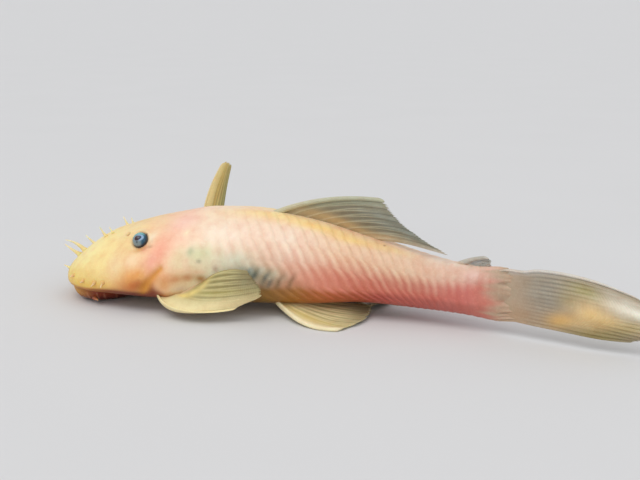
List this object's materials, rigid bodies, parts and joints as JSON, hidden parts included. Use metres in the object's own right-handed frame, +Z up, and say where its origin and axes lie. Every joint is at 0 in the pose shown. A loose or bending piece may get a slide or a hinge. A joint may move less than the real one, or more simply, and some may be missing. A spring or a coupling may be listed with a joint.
{
  "type": "bristlenose pleco fish model",
  "caption": "Life-size still model of an albino long-finned bristlenose pleco at rest on its lips and fins, with plated flanks, rayed fins and snout tentacles.",
  "frame": {"origin": "on the floor plane, where the hind edge of the lips lies flat under the head", "axes": "+Z is up, the fish faces -X, its left flank faces -Y, and its tail lies towards +X and bends a little towards -Y"},
  "size_m": [0.1392, 0.0528, 0.0274],
  "materials": {
    "snout_skin": "smooth moist skin, pale yellow",
    "flank_skin": "moist skin over bony plates, cream to salmon pink",
    "lip_flesh": "soft moist flesh, orange",
    "eye": "clear glossy eye with a teal ring",
    "fin_rays": "thin clear skin over cream rays"
  },
  "bodies": {
    "root": {"head": "snout_skin", "trunk": "flank_skin", "tail_stalk": "flank_skin", "lips": "lip_flesh", "eye_left": "eye", "eye_right": "eye", "dorsal_fin": "fin_rays", "adipose_fin": "fin_rays", "anal_fin": "fin_rays", "tail_fin": "fin_rays", "pectoral_fin_left": "fin_rays", "pectoral_fin_right": "fin_rays", "pelvic_fin_left": "fin_rays", "pelvic_fin_right": "fin_rays"}
  },
  "joints": []
}
